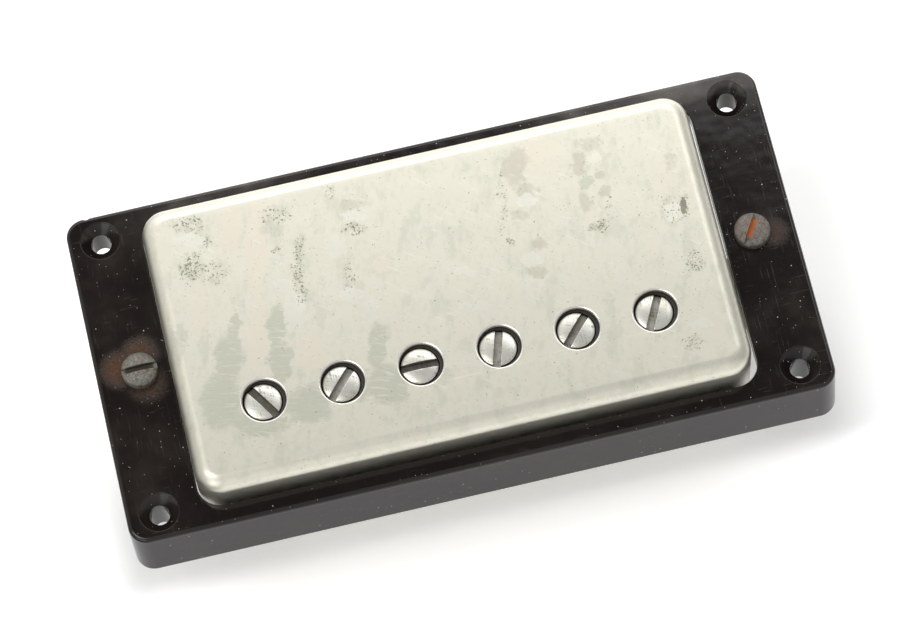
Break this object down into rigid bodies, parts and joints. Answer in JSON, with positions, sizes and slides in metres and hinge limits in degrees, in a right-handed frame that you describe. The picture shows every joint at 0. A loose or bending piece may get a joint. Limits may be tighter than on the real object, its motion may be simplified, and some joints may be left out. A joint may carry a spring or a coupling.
{
  "type": "guitar pickup",
  "caption": "Covered twin-coil guitar pickup hung on two sprung height screws in a tapered mounting ring, with adjustable pole screws.",
  "frame": {"origin": "middle of the ring's opening on the plane of the ring's underside, which lies on the guitar's top", "axes": "+X along the row of pole screws, +Y from the pole-screw row (front, thick side of the ring) to the slug row (rear), +Z along the height screws, out of the guitar towards the strings"},
  "size_m": [0.0896, 0.0455, 0.0335],
  "materials": {
    "ring_plastic": "glossy black-brown moulding, finely scratched",
    "cover_nickel": "aged nickel plate, satin, with cloudy bare patches",
    "pole_nickel": "worn nickel plate, scratched",
    "aged_screw": "corroded grey steel with rust in the slot",
    "spring_steel": "drawn wire",
    "plate_nickel_silver": "rolled sheet, satin",
    "bobbin_plastic": "black moulding",
    "coil_wire": "enamelled copper wire",
    "coil_tape": "black paper tape",
    "pole_steel": "turned and ground",
    "magnet": "sand cast with ground faces",
    "maple": "sawn maple",
    "brass": "turned brass",
    "solder": "dull solder"
  },
  "bodies": {
    "ring": {"mounting_ring": "ring_plastic", "height_spring_left": "spring_steel", "height_spring_right": "spring_steel"},
    "height_screw_left": {"height_screw_left": "aged_screw"},
    "height_screw_right": {"height_screw_right": "aged_screw"},
    "pickup": {"cover": "cover_nickel", "baseplate": "plate_nickel_silver", "screw_bobbin": "bobbin_plastic", "screw_coil_winding": "coil_wire", "screw_coil_tape": "coil_tape", "slug_bobbin": "bobbin_plastic", "slug_coil_winding": "coil_wire", "slug_coil_tape": "coil_tape", "slug_1": "pole_steel", "slug_2": "pole_steel", "slug_3": "pole_steel", "slug_4": "pole_steel", "slug_5": "pole_steel", "slug_6": "pole_steel", "keeper_bar": "pole_steel", "bar_magnet": "magnet", "maple_spacer": "maple", "bobbin_screw_1": "brass", "bobbin_screw_2": "brass", "bobbin_screw_3": "brass", "bobbin_screw_4": "brass", "solder_front": "solder", "solder_rear": "solder"},
    "pole_screw_1": {"pole_screw_1": "pole_nickel"},
    "pole_screw_2": {"pole_screw_2": "pole_nickel"},
    "pole_screw_3": {"pole_screw_3": "pole_nickel"},
    "pole_screw_4": {"pole_screw_4": "pole_nickel"},
    "pole_screw_5": {"pole_screw_5": "pole_nickel"},
    "pole_screw_6": {"pole_screw_6": "pole_nickel"}
  },
  "joints": [
    {"name": "pickup_height", "type": "slide", "parent": "ring", "child": "pickup", "axis": [0, 0, 1], "range_m": [-0.004, 0.003], "deforming": ["height_spring_left", "height_spring_right"]},
    {"name": "height_screw_left_turn", "type": "hinge", "parent": "ring", "child": "height_screw_left", "pos_m": [-0.039, 0, 0], "axis": [0, 0, 1], "range_deg": [-2050, 2730]},
    {"name": "height_screw_right_turn", "type": "hinge", "parent": "ring", "child": "height_screw_right", "pos_m": [0.039, 0, 0], "axis": [0, 0, 1], "range_deg": [-2050, 2730]},
    {"name": "pole_screw_1_height", "type": "slide", "parent": "pickup", "child": "pole_screw_1", "axis": [0, 0, 1], "range_m": [-0.00025, 0.003]},
    {"name": "pole_screw_2_height", "type": "slide", "parent": "pickup", "child": "pole_screw_2", "axis": [0, 0, 1], "range_m": [-0.00025, 0.003]},
    {"name": "pole_screw_3_height", "type": "slide", "parent": "pickup", "child": "pole_screw_3", "axis": [0, 0, 1], "range_m": [-0.00025, 0.003]},
    {"name": "pole_screw_4_height", "type": "slide", "parent": "pickup", "child": "pole_screw_4", "axis": [0, 0, 1], "range_m": [-0.00025, 0.003]},
    {"name": "pole_screw_5_height", "type": "slide", "parent": "pickup", "child": "pole_screw_5", "axis": [0, 0, 1], "range_m": [-0.00025, 0.003]},
    {"name": "pole_screw_6_height", "type": "slide", "parent": "pickup", "child": "pole_screw_6", "axis": [0, 0, 1], "range_m": [-0.00025, 0.003]}
  ],
  "couplings": [
    {"joint": "height_screw_left_turn", "follows": "pickup_height", "rad_per_m": -11874},
    {"joint": "height_screw_right_turn", "follows": "pickup_height", "rad_per_m": -11874}
  ]
}
